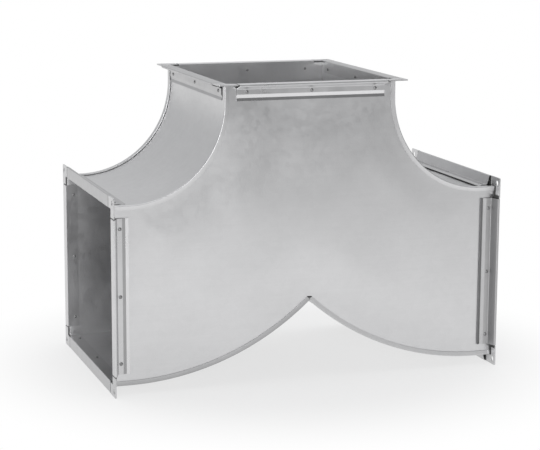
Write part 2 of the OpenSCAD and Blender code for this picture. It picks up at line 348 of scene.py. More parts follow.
def held(x, z):
    """0 where a seam or a rail holds a cheek, growing to 1 in its free middle."""
    left = math.hypot(x + bend_x, z - bend_z)
    right = math.hypot(x - bend_x, z - bend_z)
    to_heels = HEEL_RADIUS - (left + right) / 2 + math.hypot(left - right, SADDLE_EASE) / 2
    free = min(
        left - THROAT_RADIUS,
        right - THROAT_RADIUS,
        max(to_heels - SADDLE_EASE / 2, 0),
        bend_x - abs(x),
        bend_z - z,
    )
    share = min(max(free / HELD_BAND, 0), 1)
    return share * share * (3 - 2 * share)


def out_of_flat(x, z, seed):
    """How far a cheek stands out of its plane, from its bow and its waves."""
    distance = (Vector((x, 0, z)) - BOW_CENTRE).length / BOW_REACH
    bow = BOW * math.exp(-2 * distance * distance)
    wave = WAVE * noise.noise(Vector((x, seed, z)) / WAVE_LENGTH)
    return held(x, z) * (bow + wave)


def cheek_stations():
    """Stations along one half of a cheek: the straight run past the bend and the angle turned."""
    collar_run = COLLAR - setback
    notch = math.asin(bend_x / (HEEL_RADIUS + cheek_edge))
    for i in range(COLLAR_STEPS):
        yield -collar_run * (1 - i / COLLAR_STEPS), 0
    for i in range(ARC_STEPS):
        yield 0, notch * i / ARC_STEPS
    for i in range(ARC_STEPS):
        yield 0, notch + (math.pi / 2 - notch) * i / ARC_STEPS
    for i in range(COLLAR_STEPS + 1):
        yield collar_run * i / COLLAR_STEPS, math.pi / 2


def cheek(name, front, seed, *nodes):
    sheet = bmesh.new()
    turned = []
    for half in (-1, 1):
        columns = []
        for run, angle in cheek_stations():
            inner = THROAT_RADIUS - cheek_edge
            outer = HEEL_RADIUS + cheek_edge
            if angle > 0:
                outer = min(outer, bend_x / math.sin(angle))
            column = []
            for j in range(CROSS_STEPS + 1):
                radius = inner + (outer - inner) * j / CROSS_STEPS
                x = -bend_x + radius * math.sin(angle) + run * math.cos(angle)
                z = bend_z - radius * math.cos(angle) + run * math.sin(angle)
                y = front * (cheek_face + out_of_flat(half * -x, z, seed))
                column.append(sheet.verts.new((half * -x, y, z)))
            columns.append(column)
        for near, far in zip(columns, columns[1:]):
            for j in range(CROSS_STEPS):
                sheet.faces.new((near[j], near[j + 1], far[j + 1], far[j]))
            turned.append((near[0], far[0]))
            if abs(far[-1].co.x) > SNIP_HALF:
                turned.append((near[-1], far[-1]))
    depth = Vector((0, -front * cheek_turn, 0))
    feet = {}
    for pair in turned:
        for top in pair:
            if top not in feet:
                feet[top] = sheet.verts.new(top.co + depth)
        sheet.faces.new((pair[0], pair[1], feet[pair[1]], feet[pair[0]]))
    bmesh.ops.remove_doubles(sheet, verts=sheet.verts, dist=0.01 * MM)
    bmesh.ops.recalc_face_normals(sheet, faces=sheet.faces)
    middle = max(sheet.faces, key=lambda face: face.calc_area())
    if middle.normal.y * front < 0:
        bmesh.ops.reverse_faces(sheet, faces=sheet.faces)
    mesh = bpy.data.meshes.new(name)
    sheet.to_mesh(mesh)
    sheet.free()
    mesh.materials.append(cheek_finish)
    piece = bpy.data.objects.new(name, mesh)
    scene.collection.objects.link(piece)
    wall = piece.modifiers.new("sheet", "SOLIDIFY")
    wall.thickness = SHEET
    wall.offset = -1
    wall.use_even_offset = True
    finish_piece(piece, "cheek_sheet", *nodes)


cheek_finish = galvanised("galvanised cheek", 0.69, 0.34, "X")
cheek("front_cheek_plate", -1, 0.3, "front_cheek")
cheek("back_cheek_plate", 1, 7.1, "back_cheek")

# Throat wrappers
# The two tight bends between the branches and the neck. Each is one sheet, roll-formed flat with a lock
# pocket and a hammered lip along both edges, then rolled to its radius between two short collars.
FOLD_GAP = 0.2 * MM
POCKET = 10 * MM
LIP = 8 * MM
LIP_RISE = 0.8 * MM
FOLD_RADIUS = 0.5 * MM
LIP_RADIUS = 1.1 * MM
FOLD_STEPS = 5
FLAT_STRIPS = 28
STATION = 4 * MM
# Painted reflection: the throat lips are made lighter by the first factor; the second is the share of it
# left at the lip's tip.
THROAT_LIP_PAINTED_REFLECTION = 1.2
LIP_PAINT_FADE = 0.45
WAVE_SCALE = 7.0
RIPPLE_SCALE = 45.0
WAVINESS = 1.2 * MM
LIP_RIPPLE = 0.3 * MM
layer = SHEET + FOLD_GAP
main_height = SHEET / 2
fold_height = main_height + layer
lip_height = main_height + 3 * layer


def rounded_path(points, radii):
    """A path of straight legs with its corners rounded to the given radii."""
    result = [points[0]]
    for before, corner, after, radius in zip(points, points[1:], points[2:], radii):
        to_before = (before - corner).normalized()
        to_after = (after - corner).normalized()
        half = to_before.angle(to_after) / 2
        reach = radius / math.tan(half)
        start = corner + to_before * reach
        end = corner + to_after * reach
        centre = corner + (to_before + to_after).normalized() * (radius / math.sin(half))
        for step in range(FOLD_STEPS + 1):
            share = step / FOLD_STEPS
            arm = (start - centre).lerp(end - centre, share)
            result.append(centre + arm.normalized() * radius)
    result.append(points[-1])
    return result


def sheet_outline(path, thickness):
    """Closed outline of a folded sheet whose middle line is the path."""
    left = []
    right = []
    for i, point in enumerate(path):
        before = (point - path[i - 1]).normalized() if i else None
        after = (path[i + 1] - point).normalized() if i + 1 < len(path) else None
        along = (before or after) + (after or before)
        side = Vector((-along.y, along.x)).normalized()
        ahead = after or before
        reach = thickness / 2 / max(side.dot(Vector((-ahead.y, ahead.x))), 0.5)
        left.append(point + side * reach)
        right.append(point - side * reach)
    return left + right[::-1]


def lock_path(side):
    """Middle line of one lock, from the tip of the lip to the flat sheet: place along Y, then height."""
    lip_y = cheek_face + FOLD_GAP + SHEET / 2
    pocket_y = cheek_face - POCKET + SHEET / 2
    web_y = cheek_face - SHEET - FOLD_GAP - SHEET / 2
    points = [
        (lip_y, lip_height + SHEET / 2 - LIP),
        (lip_y + LIP_RISE, lip_height),
        (pocket_y, lip_height),
        (pocket_y, fold_height),
        (web_y, fold_height),
        (web_y, main_height),
    ]
    return [Vector((side * y, height)) for y, height in points]


def wrapper_outline():
    """Section of a wrapper, with extra points across its flat so that the flat can wave."""
    corners = lock_path(-1) + lock_path(1)[::-1]
    radii = [LIP_RADIUS] + [FOLD_RADIUS] * 8 + [LIP_RADIUS]
    path = rounded_path(corners, radii)
    middle = len(path) // 2
    start, end = path[middle - 1], path[middle]
    strips = [start.lerp(end, i / FLAT_STRIPS) for i in range(1, FLAT_STRIPS)]
    return sheet_outline(path[:middle] + strips + path[middle:], SHEET)


def outline_mesh(name, outline):
    """An edge loop in the plane that Curve to Mesh sweeps along X."""
    mesh = bpy.data.meshes.new(name)
    corners = [(-point.x, -point.y, 0) for point in outline]
    edges = [(i, (i + 1) % len(corners)) for i in range(len(corners))]
    mesh.from_pydata(corners, edges, [])
    return mesh


class Tree:
    """Builds a Geometry Nodes tree with named inputs."""

    def __init__(self, name, **inputs):
        self.group = bpy.data.node_groups.new(name, "GeometryNodeTree")
        face = self.group.interface
        face.new_socket("Geometry", in_out="INPUT", socket_type="NodeSocketGeometry")
        face.new_socket("Geometry", in_out="OUTPUT", socket_type="NodeSocketGeometry")
        kinds = {float: "NodeSocketFloat", int: "NodeSocketInt"}
        self.identifiers = {}
        for label, kind in inputs.items():
            socket = face.new_socket(
                label.replace("_", " "), in_out="INPUT", socket_type=kinds.get(kind, kind)
            )
            self.identifiers[label] = socket.identifier
        self.entry = self.node("NodeGroupInput")
        self.exit = self.node("NodeGroupOutput")

    def node(self, kind, **settings):
        made = self.group.nodes.new(kind)
        for name, value in settings.items():
            setattr(made, name, value)
        return made

    def feed(self, socket, value):
        if isinstance(value, bpy.types.NodeSocket):
            self.group.links.new(value, socket)
        else:
            socket.default_value = value

    def value(self, label):
        return self.entry.outputs[label.replace("_", " ")]

    def math(self, operation, *values):
        made = self.node("ShaderNodeMath", operation=operation)
        for socket, value in zip(made.inputs, values):
            self.feed(socket, value)
        return made.outputs[0]

    def smooth(self, value, low_in, high_in, low_out, high_out):
        made = self.node("ShaderNodeMapRange", interpolation_type="SMOOTHSTEP")
        settings = {"From Min": low_in, "From Max": high_in, "To Min": low_out, "To Max": high_out}
        self.feed(made.inputs["Value"], value)
        for name, setting in settings.items():
            self.feed(made.inputs[name], setting)
        return made.outputs[0]

    def close(self, geometry):
        """Ends the tree in Realize Instances and Set Material."""
        real = self.node("GeometryNodeRealizeInstances")
        coated = self.node("GeometryNodeSetMaterial")
        self.feed(real.inputs["Geometry"], geometry)
        self.feed(coated.inputs["Geometry"], real.outputs["Geometry"])
        self.feed(coated.inputs["Material"], self.value("Finish"))
        self.feed(self.exit.inputs["Geometry"], coated.outputs["Geometry"])

    def build(self, name, mesh, **values):
        """Runs the tree on a mesh, and returns the result as a plain object."""
        piece = bpy.data.objects.new(name, mesh)
        scene.collection.objects.link(piece)
        modifier = piece.modifiers.new(name, "NODES")
        modifier.node_group = self.group
        for label, value in values.items():
            modifier[self.identifiers[label]] = value
        ready = piece.evaluated_get(bpy.context.evaluated_depsgraph_get())
        piece.data = bpy.data.meshes.new_from_object(ready)
        piece.modifiers.remove(modifier)
        return piece


rolled = Tree(
    "rolled wrapper",
    Bend_centre_X=float,
    Bend_centre_Z=float,
    Bend_radius=float,
    Outward=float,
    Collar=float,
    Bend_angle=float,
    Tail=float,
    Station=float,
    Flat_half_width=float,
    Waviness=float,
    Lip_start=float,
    Lip_ripple=float,
    Lip_tone=float,
    Seed=float,
    Finish="NodeSocketMaterial",
)
arc_length = rolled.math("MULTIPLY", rolled.value("Bend_radius"), rolled.value("Bend_angle"))
collar_and_arc = rolled.math("ADD", rolled.value("Collar"), arc_length)
blank_length = rolled.math("ADD", collar_and_arc, rolled.value("Tail"))
far_end = rolled.node("ShaderNodeCombineXYZ")
rolled.feed(far_end.inputs["X"], blank_length)
line = rolled.node("GeometryNodeCurvePrimitiveLine")
rolled.feed(line.inputs["End"], far_end.outputs[0])
stations = rolled.node("GeometryNodeResampleCurve")
rolled.feed(stations.inputs["Curve"], line.outputs["Curve"])
rolled.feed(stations.inputs["Count"], rolled.math("DIVIDE", blank_length, rolled.value("Station")))
section = rolled.node("GeometryNodeMeshToCurve")
rolled.feed(section.inputs["Mesh"], rolled.entry.outputs["Geometry"])
blank = rolled.node("GeometryNodeCurveToMesh")
rolled.feed(blank.inputs["Curve"], stations.outputs["Curve"])
rolled.feed(blank.inputs["Profile Curve"], section.outputs["Curve"])
rolled.feed(blank.inputs["Fill Caps"], True)

point = rolled.node("ShaderNodeSeparateXYZ")
rolled.feed(point.inputs[0], rolled.node("GeometryNodeInputPosition").outputs[0])
along, across, height = point.outputs
from_middle = rolled.math("ABSOLUTE", across)
seeded = rolled.node("ShaderNodeCombineXYZ")
rolled.feed(seeded.inputs["X"], along)
rolled.feed(seeded.inputs["Y"], across)
rolled.feed(seeded.inputs["Z"], rolled.value("Seed"))
waves = rolled.node("ShaderNodeTexNoise")
rolled.feed(waves.inputs["Vector"], seeded.outputs[0])
rolled.feed(waves.inputs["Scale"], WAVE_SCALE)
rolled.feed(waves.inputs["Detail"], 1.0)
ripples = rolled.node("ShaderNodeTexNoise")
rolled.feed(ripples.inputs["Vector"], seeded.outputs[0])
rolled.feed(ripples.inputs["Scale"], RIPPLE_SCALE)
rolled.feed(ripples.inputs["Detail"], 2.0)
flat_edge = rolled.math("MULTIPLY", rolled.value("Flat_half_width"), 0.6)
free_across = rolled.smooth(from_middle, flat_edge, rolled.value("Flat_half_width"), 1.0, 0.0)
free_along = rolled.smooth(along, rolled.value("Collar"), 0.10, 0.0, 1.0)
wave = rolled.math("MULTIPLY", rolled.math("SUBTRACT", waves.outputs[0], 0.5), rolled.value("Waviness"))
wave = rolled.math("MULTIPLY", wave, rolled.math("MULTIPLY", free_across, free_along))
waved = rolled.math("ADD", height, wave)
lip_full = rolled.math("ADD", rolled.value("Lip_start"), SHEET)
on_lip = rolled.smooth(from_middle, rolled.value("Lip_start"), lip_full, 0.0, 1.0)
lip_ripples = rolled.math("MULTIPLY", ripples.outputs[0], on_lip)
ripple = rolled.math("MULTIPLY", lip_ripples, rolled.value("Lip_ripple"))
rippled = rolled.math("MULTIPLY", rolled.math("ADD", from_middle, ripple), rolled.math("SIGN", across))

past_collar = rolled.math("SUBTRACT", along, rolled.value("Collar"))
turned_length = rolled.math("MINIMUM", rolled.math("MAXIMUM", past_collar, 0.0), arc_length)
angle = rolled.math("DIVIDE", turned_length, rolled.value("Bend_radius"))
straight = rolled.math("SUBTRACT", past_collar, turned_length)
outward_height = rolled.math("MULTIPLY", waved, rolled.value("Outward"))
radius = rolled.math("ADD", rolled.value("Bend_radius"), outward_height)
sine = rolled.math("SINE", angle)
cosine = rolled.math("COSINE", angle)
bent = rolled.node("ShaderNodeCombineXYZ")
radius_along = rolled.math("MULTIPLY", radius, sine)
radius_up = rolled.math("MULTIPLY", radius, cosine)
straight_along = rolled.math("MULTIPLY", straight, cosine)
straight_up = rolled.math("MULTIPLY", straight, sine)
bent_x = rolled.math("ADD", radius_along, straight_along)
bent_z = rolled.math("SUBTRACT", straight_up, radius_up)
rolled.feed(bent.inputs["X"], rolled.math("ADD", bent_x, rolled.value("Bend_centre_X")))
rolled.feed(bent.inputs["Y"], rippled)
rolled.feed(bent.inputs["Z"], rolled.math("ADD", bent_z, rolled.value("Bend_centre_Z")))
# Painted reflection: the colour of the lips is multiplied by their own factor, fully near the corner fold
# and less towards the tip.
toned = rolled.node("GeometryNodeStoreNamedAttribute", data_type="FLOAT", domain="POINT")
rolled.feed(toned.inputs["Geometry"], blank.outputs["Mesh"])
rolled.feed(toned.inputs["Name"], "strip tone")
fade = rolled.smooth(height, -LIP / 2, LIP / 4, LIP_PAINT_FADE, 1.0)
near_corner = rolled.math("MULTIPLY", on_lip, fade)
brighter = rolled.math("MULTIPLY", near_corner, rolled.math("SUBTRACT", rolled.value("Lip_tone"), 1.0))
rolled.feed(toned.inputs["Value"], rolled.math("ADD", brighter, 1.0))
shaped = rolled.node("GeometryNodeSetPosition")
rolled.feed(shaped.inputs["Geometry"], toned.outputs["Geometry"])
rolled.feed(shaped.inputs["Position"], bent.outputs[0])
rolled.close(shaped.outputs["Geometry"])


def rolled_wrapper(name, radius, outward, angle, tail, seed, lip_tone):
    """One wrapper on the left side of the fitting, as a plain mesh."""
    return rolled.build(
        name,
        outline_mesh(name, wrapper_outline()),
        Bend_centre_X=-bend_x,
        Bend_centre_Z=bend_z,
        Bend_radius=radius,
        Outward=outward,
        Collar=COLLAR - setback,
        Bend_angle=angle,
        Tail=tail,
        Station=STATION,
        Flat_half_width=cheek_face - POCKET,
        Waviness=WAVINESS,
        Lip_start=cheek_face + FOLD_GAP / 2,
        Lip_ripple=LIP_RIPPLE,
        Lip_tone=lip_tone,
        Seed=seed,
        Finish=wrapper_finish,
    )


def to_the_right(piece):
    """Mirrors a piece that was made on the left side."""
    piece.data.transform(Matrix.Scale(-1, 4, (1, 0, 0)))


def face_outwards(piece):
    """Turns the faces of a closed piece outwards."""
    shell = bmesh.new()
    shell.from_mesh(piece.data)
    bmesh.ops.remove_doubles(shell, verts=shell.verts, dist=0.005 * MM)
    bmesh.ops.recalc_face_normals(shell, faces=shell.faces)
    shell.to_mesh(piece.data)
    shell.free()


wrapper_finish = galvanised("galvanised wrapper", 0.60, 0.34, "Y", shade="strip tone")
for side, seed in (("left", 0.2), ("right", 0.9)):
    throat = rolled_wrapper(
        side + "_throat_sheet", THROAT_RADIUS, -1, math.pi / 2, COLLAR - setback, seed, THROAT_LIP_PAINTED_REFLECTION
    )
    if side == "right":
        to_the_right(throat)
    face_outwards(throat)
    finish_piece(throat, "wrapper_sheet", side + "_throat_wrapper")

# Heel wrappers and the saddle seam
# The two wide bends under the fitting are rolled in the same way. They meet in the middle, where both
# turn up into the duct as a standing seam, and the left one is folded over the right one. Each sheet is
# cut off within the thickness of its leg, and the leg's ends lie within the thickness of the pocket's web.
STAND_HEIGHT = 12 * MM
STAND_HEM = 8 * MM
LIP_TRIM = 7 * MM
PAST_MIDDLE = 0.03
CUT_SHORT = 0.3 * MM
LEG_INSET = 0.1 * MM
saddle_angle = math.asin(bend_x / HEEL_RADIUS)
leg_x = layer / 2
saddle_z = bend_z - math.sqrt((HEEL_RADIUS + main_height) ** 2 - (bend_x - leg_x) ** 2)
notch_z = bend_z - math.sqrt((HEEL_RADIUS + lip_height + SHEET / 2) ** 2 - bend_x**2)
stand_top = saddle_z + STAND_HEIGHT
stand_half = cheek_face - SHEET - FOLD_GAP - LEG_INSET
over_leg = [
    (-leg_x, saddle_z),
    (-leg_x, stand_top),
    (3 * leg_x, stand_top),
    (3 * leg_x, stand_top - STAND_HEM),
]
plain_leg = [(-leg_x, saddle_z), (-leg_x, stand_top - SHEET / 2 - FOLD_GAP)]


def standing_leg(path):
    """The leg of a heel that stands in the saddle seam, as a closed strip from front to back."""
    corners = [Vector(point) for point in path]
    outline = sheet_outline(rounded_path(corners, [FOLD_RADIUS] * (len(corners) - 2)), SHEET)
    strip = bmesh.new()
    front = strip.faces.new([strip.verts.new((point.x, -stand_half, point.y)) for point in outline])
    grown = bmesh.ops.extrude_face_region(strip, geom=[front])["geom"]
    moved = [item for item in grown if isinstance(item, bmesh.types.BMVert)]
    bmesh.ops.translate(strip, verts=moved, vec=(0, 2 * stand_half, 0))
    bmesh.ops.recalc_face_normals(strip, faces=strip.faces)
    mesh = bpy.data.meshes.new("leg")
    strip.to_mesh(mesh)
    strip.free()
    return mesh


def cut_at_middle(piece):
    """Cuts a heel off within the leg's thickness, and closes the cut.

    Faces of many corners are split into triangles. Where they stay whole, the Booleans leave open edges.
    """
    shell = bmesh.new()
    shell.from_mesh(piece.data)
    parts = shell.verts[:] + shell.edges[:] + shell.faces[:]
    cut = bmesh.ops.bisect_plane(
        shell, geom=parts, plane_co=(-CUT_SHORT, 0, 0), plane_no=(1, 0, 0), clear_outer=True
    )
    rim = [item for item in cut["geom_cut"] if isinstance(item, bmesh.types.BMEdge)]
    bmesh.ops.contextual_create(shell, geom=rim)
    bmesh.ops.triangulate(shell, faces=[face for face in shell.faces if len(face.verts) > 4])
    shell.to_mesh(piece.data)
    shell.free()


def combine(piece, mesh, operation):
    """Adds a closed mesh to a piece, or cuts it away."""
    tool = bpy.data.objects.new("tool", mesh)
    scene.collection.objects.link(tool)
    step = piece.modifiers.new(operation, "BOOLEAN")
    step.operation = operation
    step.solver = "EXACT"
    step.object = tool
    ready = piece.evaluated_get(bpy.context.evaluated_depsgraph_get())
    piece.data = bpy.data.meshes.new_from_object(ready)
    piece.modifiers.remove(step)
    bpy.data.objects.remove(tool)


def lip_trimmer(side):
    """A block that cuts the lips level above the notch, outside one cheek."""
    block = bmesh.new()
    reach = LIP_RISE + SHEET + 3 * FOLD_GAP
    place = Matrix.Translation((0, side * (cheek_face + reach / 2), notch_z + LIP_TRIM + LIP))
    bmesh.ops.create_cube(block, size=1, matrix=place @ Matrix.Diagonal((4 * LIP, reach, 2 * LIP, 1)))
    mesh = bpy.data.meshes.new("trimmer")
    block.to_mesh(mesh)
    block.free()
    return mesh


# The last number of each heel is painted reflection on its lips: darker on the left, a little lighter on the
# right.
for side, leg, seed, lip_tone in (("left", over_leg, 1.6, 0.75), ("right", plain_leg, 2.3, 1.05)):
    heel = rolled_wrapper(
        side + "_heel_sheet", HEEL_RADIUS, 1, saddle_angle, PAST_MIDDLE, seed, lip_tone
    )
    face_outwards(heel)
    cut_at_middle(heel)
    combine(heel, standing_leg(leg), "UNION")
    for end in (-1, 1):
        combine(heel, lip_trimmer(end), "DIFFERENCE")
    if side == "right":
        to_the_right(heel)
    face_outwards(heel)
    finish_piece(heel, "wrapper_sheet", side + "_heel_wrapper")

# Flange rails
# Hollow rails, roll-formed from one strip, are pushed over the sheet ends on all four sides of each
# opening. The inner leg lies in the duct, the outer leg grips the sheet and ends in a small flare.
RAIL = 0.8 * MM
RAIL_EDGE = 4 * MM
RAIL_FOOT = 9 * MM
RAIL_LEVEL = 18.5 * MM
RAIL_GRIP = 24.5 * MM
RAIL_LEG = 29.5 * MM
INNER_LEG = 22 * MM
LEG_RISE = 2 * MM
FLARE_RISE = 2 * MM
RAIL_CUT = 17 * MM
RAIL_CORNER = 0.9 * MM
RAIL_EASE = 1.5 * MM
flange_height = bend_z - HEEL_RADIUS
neck_width = 2 * (bend_x - THROAT_RADIUS)
duct_depth = 2 * (cheek_face - SHEET)


def rail_outline():
    """Section of a rail: height above the inside of the duct, then depth behind the flange face."""
    inner = -FOLD_GAP - RAIL / 2
    level = SHEET + LEG_RISE + RAIL / 2
    grip = SHEET + FOLD_GAP + RAIL / 2
    rim = flange_height - RAIL / 2
    points = [
        (inner, -INNER_LEG),
        (inner, -RAIL / 2),
        (rim, -RAIL / 2),
        (rim, -RAIL_EDGE + RAIL / 2),
        (level, -RAIL_FOOT),
        (level, -RAIL_LEVEL),
        (grip, -RAIL_GRIP),
        (grip + FLARE_RISE, -RAIL_LEG),
    ]
    radii = [RAIL_CORNER] * 3 + [RAIL_EASE] * 3
    return sheet_outline(rounded_path([Vector(point) for point in points], radii), RAIL)


def left_flange_place():
    """Places what is drawn on a flange, with Z out of the duct, on the left branch."""
    turn = Matrix.Rotation(-math.pi / 2, 4, "Z") @ Matrix.Rotation(math.pi / 2, 4, "X")
    return Matrix.Translation((-face_x, 0, flange_height + BRANCH_HEIGHT / 2)) @ turn


FLANGES = {
    "left": (duct_depth, BRANCH_HEIGHT, left_flange_place(), ("top", "back", "bottom", "front")),
    "right": (
        duct_depth,
        BRANCH_HEIGHT,
        Matrix.Scale(-1, 4, (1, 0, 0)) @ left_flange_place(),
        ("top", "back", "bottom", "front"),
    ),
    "neck": (
        neck_width,
        duct_depth,
        Matrix.Translation((0, 0, face_z)),
        ("back", "left", "front", "right"),
    ),
}
# The rails reflect different sides of the studio. These factors on their tone are listed one for each rail.
# Painted reflection: these factors make the colour of each rail darker or lighter.
PAINTED_REFLECTION_TONES = {
    "left": (0.75, 1.0, 0.85, 1.0),
    "right": (0.85, 1.0, 0.90, 0.72),
    "neck": (1.10, 0.75, 1.10, 0.80),
}
FOLD_PAINTED_SHADE = 0.65
FOLD_PAINTED_HIGHLIGHT = 1.1



def paint_fold_reflections(piece):
    """Painted reflection: the folds of a front rail that face right or up are made darker, those that face
    left or down lighter.
    """
    tones = piece.data.attributes["strip tone"].data
    for face in piece.data.polygons:
        if -0.99 < face.normal.y < -0.6:
            aside = max(face.normal.x, face.normal.z, key=abs)
            tones[face.index].value *= FOLD_PAINTED_SHADE if aside > 0 else FOLD_PAINTED_HIGHLIGHT


frame_rails = Tree(
    "flange rails",
    Opening_width=float,
    Opening_depth=float,
    Rail_cut=float,
    Tone_1=float,
    Tone_2=float,
    Tone_3=float,
    Tone_4=float,
    Finish="NodeSocketMaterial",
)
profile = frame_rails.node("GeometryNodeMeshToCurve")
frame_rails.feed(profile.inputs["Mesh"], frame_rails.entry.outputs["Geometry"])
all_rails = frame_rails.node("GeometryNodeJoinGeometry")
for quarter in range(4):
    spans = ("Opening_width", "Opening_depth")
    own, other = spans if quarter % 2 == 0 else spans[::-1]
    half = frame_rails.math("MULTIPLY", frame_rails.value(own), 0.5)
    end = frame_rails.math("SUBTRACT", half, frame_rails.value("Rail_cut"))
    start = frame_rails.math("MULTIPLY", end, -1.0)
    offset = frame_rails.math("MULTIPLY", frame_rails.value(other), 0.5)
    ends = []
    for value in (start, end):
        joined = frame_rails.node("ShaderNodeCombineXYZ")
        frame_rails.feed(joined.inputs["X"], value)
        frame_rails.feed(joined.inputs["Y"], offset)
        ends.append(joined.outputs[0])
    rail_line = frame_rails.node("GeometryNodeCurvePrimitiveLine")
    frame_rails.feed(rail_line.inputs["Start"], ends[0])
    frame_rails.feed(rail_line.inputs["End"], ends[1])
    rail = frame_rails.node("GeometryNodeCurveToMesh")
    frame_rails.feed(rail.inputs["Curve"], rail_line.outputs["Curve"])
    frame_rails.feed(rail.inputs["Profile Curve"], profile.outputs["Curve"])
    frame_rails.feed(rail.inputs["Fill Caps"], True)
    # Painted reflection: each rail's factor on its colour is stored on its faces.
    toned = frame_rails.node("GeometryNodeStoreNamedAttribute", data_type="FLOAT", domain="FACE")
    frame_rails.feed(toned.inputs["Geometry"], rail.outputs["Mesh"])
    frame_rails.feed(toned.inputs["Name"], "strip tone")
    frame_rails.feed(toned.inputs["Value"], frame_rails.value(f"Tone_{quarter + 1}"))
    turn = frame_rails.node("GeometryNodeTransform")
    frame_rails.feed(turn.inputs["Geometry"], toned.outputs["Geometry"])
    turn.inputs["Rotation"].default_value = (0, 0, quarter * math.pi / 2)
    frame_rails.feed(all_rails.inputs["Geometry"], turn.outputs["Geometry"])
frame_rails.close(all_rails.outputs["Geometry"])

rail_finish = galvanised("galvanised rail", 0.64, 0.32, "Z", 0.2, "strip tone")
for side, (width, depth, place, names) in FLANGES.items():
    rails = frame_rails.build(
        side + "_rails",
        outline_mesh(side + "_rails", rail_outline()),
        Opening_width=width,
        Opening_depth=depth,
        Rail_cut=RAIL_CUT,
        Finish=rail_finish,
        **{f"Tone_{i + 1}": tone for i, tone in enumerate(PAINTED_REFLECTION_TONES[side])},
    )
    rails.data.transform(place)
    face_outwards(rails)
    paint_fold_reflections(rails)
    finish_piece(rails, "rail_steel", *[f"{side}_rail_{name}" for name in names])

# Corner pieces
# Stamped angle plates, zinc plated, whose set-back arms slide into the ends of two rails. Their cut
# edges are slightly rounded. Each has one hole for the bolt that joins the next duct. A bead of mastic
# fills the gap behind each plate.
# The arms of the plates, where they run inside the rails, take the same dark finish as the mastic: painted
# shade in the gaps.
PLATE_REACH = 15 * MM
PLATE = 2 * MM
MASTIC_WIDTH = 4 * MM
STAMPED_EDGE = 0.35 * MM
corner_finish = galvanised("zinc plated corner", 0.62, 0.34, "X", 0.2)


def from_duct_corner(place, width, depth, point):
    """Place of a point on a flange, measured outwards from the nearest inside corner of the duct."""
    local = place.inverted() @ point
    return Vector((abs(local.x) - width / 2, abs(local.y) - depth / 2, local.z))


def mastic_bead(target, place, width, depth):
    """Four angle-shaped beads that lie between the corner plates and the sheet ends."""
    outline = [(-1, 0), (0, 0), (0, -1), (1, -1), (1, 1), (-1, 1)]
    for turn_x, turn_y in ((1, 1), (-1, 1), (-1, -1), (1, -1)):
        corner = Vector((turn_x * width / 2, turn_y * depth / 2, -setback))
        ring = []
        for x, y in outline:
            run_x = x * (MASTIC_WIDTH if x > 0 else RAIL_CUT)
            run_y = y * (MASTIC_WIDTH if y > 0 else RAIL_CUT)
            ring.append(target.verts.new(place @ (corner + Vector((turn_x * run_x, turn_y * run_y, 0)))))
        bottom = target.faces.new(ring)
        grown = bmesh.ops.extrude_face_region(target, geom=[bottom])["geom"]
        raised = [item for item in grown if isinstance(item, bmesh.types.BMVert)]
        lift = place.to_3x3() @ Vector((0, 0, setback - PLATE))
        bmesh.ops.translate(target, verts=raised, vec=lift)
        for vertex in raised:
            for face in vertex.link_faces:
                face.material_index = 1
        bottom.material_index = 1


mastic_and_painted_shade_finish = bpy.data.materials.new("grey mastic and painted shade")
mastic_and_painted_shade_finish.use_nodes = True
mastic_shader = mastic_and_painted_shade_finish.node_tree.nodes["Principled BSDF"]
mastic_shader.inputs["Roughness"].default_value = 0.7
mastic_patches = mastic_and_painted_shade_finish.node_tree.nodes.new("ShaderNodeTexNoise")
mastic_patches.inputs["Scale"].default_value = 90
mastic_and_shade_tone = mastic_and_painted_shade_finish.node_tree.nodes.new("ShaderNodeMapRange")
mastic_and_shade_tone.inputs["To Min"].default_value = 0.05
mastic_and_shade_tone.inputs["To Max"].default_value = 0.12
mastic_place = mastic_and_painted_shade_finish.node_tree.nodes.new("ShaderNodeTexCoord").outputs["Object"]
mastic_and_painted_shade_finish.node_tree.links.new(mastic_place, mastic_patches.inputs["Vector"])
mastic_and_painted_shade_finish.node_tree.links.new(mastic_patches.outputs["Fac"], mastic_and_shade_tone.inputs["Value"])
mastic_and_painted_shade_finish.node_tree.links.new(mastic_and_shade_tone.outputs[0], mastic_shader.inputs["Base Color"])
for side, (width, depth, place, _) in FLANGES.items():
    plates = bmesh.new()
    corner_names = sorted(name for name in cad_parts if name.startswith(side + "_corner"))
    for name in corner_names:
        plates.from_mesh(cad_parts[name].data)
    bmesh.ops.remove_doubles(plates, verts=plates.verts, dist=0.005 * MM)
    flat = math.radians(1)
    bmesh.ops.dissolve_limit(plates, angle_limit=flat, verts=plates.verts, edges=plates.edges)
    mastic_bead(plates, place, width, depth)
    bmesh.ops.recalc_face_normals(plates, faces=plates.faces)
    mesh = bpy.data.meshes.new(side + "_corners")
    plates.to_mesh(mesh)
    plates.free()
    mesh.materials.append(corner_finish)
    mesh.materials.append(mastic_and_painted_shade_finish)
    # Painted shade: faces more than PLATE_REACH in from the duct's corner, the arms inside the rails, take
    # the dark mastic finish.
    for face in mesh.polygons:
        spot = from_duct_corner(place, width, depth, face.center)
        if min(spot.x, spot.y) < -PLATE_REACH:
            face.material_index = 1
    piece = bpy.data.objects.new(side + "_corners", mesh)
    scene.collection.objects.link(piece)
    eased = piece.modifiers.new("stamped edge", "BEVEL")
    eased.width = STAMPED_EDGE
    eased.segments = 2
    eased.angle_limit = math.radians(50)
    finish_piece(piece, "corner_steel", *corner_names)

# Blind rivets
# Three steel blind rivets hold each rail to its sheet. The domed head sits on the outer leg, with the
# broken end of its mandrel in a small hole, and the closed end bulges inside the duct.
RIVET_ROW = 14.5 * MM
RIVET_INSET = 18 * MM
RIVETS_PER_RAIL = 3
HEAD_RADIUS = 3.2 * MM
HEAD_RISE = 1.4 * MM
SHANK_RADIUS = 1.6 * MM
BULB_RADIUS = 2.4 * MM
BULB_LENGTH = 1.8 * MM
MANDREL_RADIUS = 0.8 * MM
HEAD_RIM = 0.25 * MM
LATHE_STEPS = 28
rivet_seat = SHEET + LEG_RISE + RAIL
rivet_foot = -FOLD_GAP - RAIL


